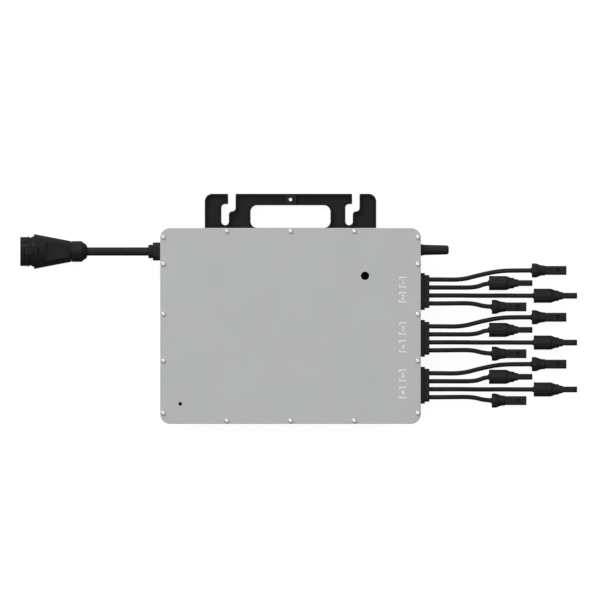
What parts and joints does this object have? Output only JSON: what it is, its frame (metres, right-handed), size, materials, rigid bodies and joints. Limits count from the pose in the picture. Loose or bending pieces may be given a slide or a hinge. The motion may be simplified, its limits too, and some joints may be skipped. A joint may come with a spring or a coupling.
{
  "type": "string inverter",
  "caption": "Flat finned grey inverter with a hook-slotted black hanging bracket, a latching AC plug on a short cable, a stub antenna and DC leads ending in push-fit connectors.",
  "frame": {"origin": "middle of the body, in the plane of the fin tips that it lies on", "axes": "+X towards the DC leads, +Y towards the hanging bracket, +Z out of the cover"},
  "size_m": [0.7352, 0.3037, 0.046],
  "materials": {
    "cover_coat": "fine satin powder coat, light grey",
    "cast_coat": "powder coated die-casting, light grey",
    "bracket_coat": "fine textured black powder coat",
    "screw_steel": "bright stainless steel",
    "black_plastic": "moulded glass-filled nylon, fine spark texture",
    "gland_plastic": "moulded black nylon",
    "dc_jacket": "satin black cable jacket",
    "ac_jacket": "black rubber cable jacket",
    "seal_rubber": "black silicone",
    "lens": "smoked polycarbonate",
    "contact": "tinned copper alloy",
    "circuit_board": "green laminate",
    "component": "moulded component cases",
    "membrane": "expanded fluoropolymer film"
  },
  "bodies": {
    "inverter": {"ac_cable": "ac_jacket", "ac_gland_body": "gland_plastic", "ac_gland_locknut": "gland_plastic", "ac_gland_nut": "gland_plastic", "ac_gland_seal": "seal_rubber", "ac_plug_body": "black_plastic", "ac_plug_contacts": "contact", "ac_plug_grommet": "seal_rubber", "ac_plug_insert": "black_plastic", "ac_plug_latch_pin": "screw_steel", "ac_plug_nut": "black_plastic", "ac_plug_seal": "seal_rubber", "ac_terminals": "contact", "antenna_cover": "black_plastic", "antenna_element": "contact", "board_screws": "screw_steel", "bracket_screws": "screw_steel", "bulk_capacitors": "component", "cover_screws": "screw_steel", "cover_seal": "seal_rubber", "dc_gland_1": "gland_plastic", "dc_gland_2": "gland_plastic", "dc_gland_3": "gland_plastic", "dc_gland_clips": "screw_steel", "dc_gland_seals": "seal_rubber", "dc_lead_01": "dc_jacket", "dc_lead_02": "dc_jacket", "dc_lead_03": "dc_jacket", "dc_lead_04": "dc_jacket", "dc_lead_05": "dc_jacket", "dc_lead_06": "dc_jacket", "dc_lead_07": "dc_jacket", "dc_lead_08": "dc_jacket", "dc_lead_09": "dc_jacket", "dc_lead_10": "dc_jacket", "dc_lead_11": "dc_jacket", "dc_lead_12": "dc_jacket", "dc_lead_seals": "seal_rubber", "dc_plug_bodies": "black_plastic", "dc_plug_contacts": "contact", "dc_plug_nuts": "black_plastic", "dc_socket_bodies": "black_plastic", "dc_socket_nuts": "black_plastic", "dc_socket_pins": "contact", "dc_terminals": "contact", "film_capacitors": "component", "filter_chokes": "component", "front_cover": "cover_coat", "housing": "cast_coat", "led_lens": "lens", "line_relays": "component", "main_board": "circuit_board", "mounting_bracket": "bracket_coat", "power_transformers": "component", "power_transistors": "component", "radio_module": "component", "vent_body": "black_plastic", "vent_membrane": "membrane", "vent_seal": "seal_rubber"},
    "latch": {"ac_plug_latch": "black_plastic"}
  },
  "joints": [
    {"name": "latch_pivot", "type": "hinge", "parent": "inverter", "child": "latch", "pos_m": [-0.3365, 0.0982, 0.0403], "axis": [0, 1, 0], "range_deg": [0, 4], "stiffness_Nm_per_rad": 0.3, "springref_deg": -5.73}
  ]
}
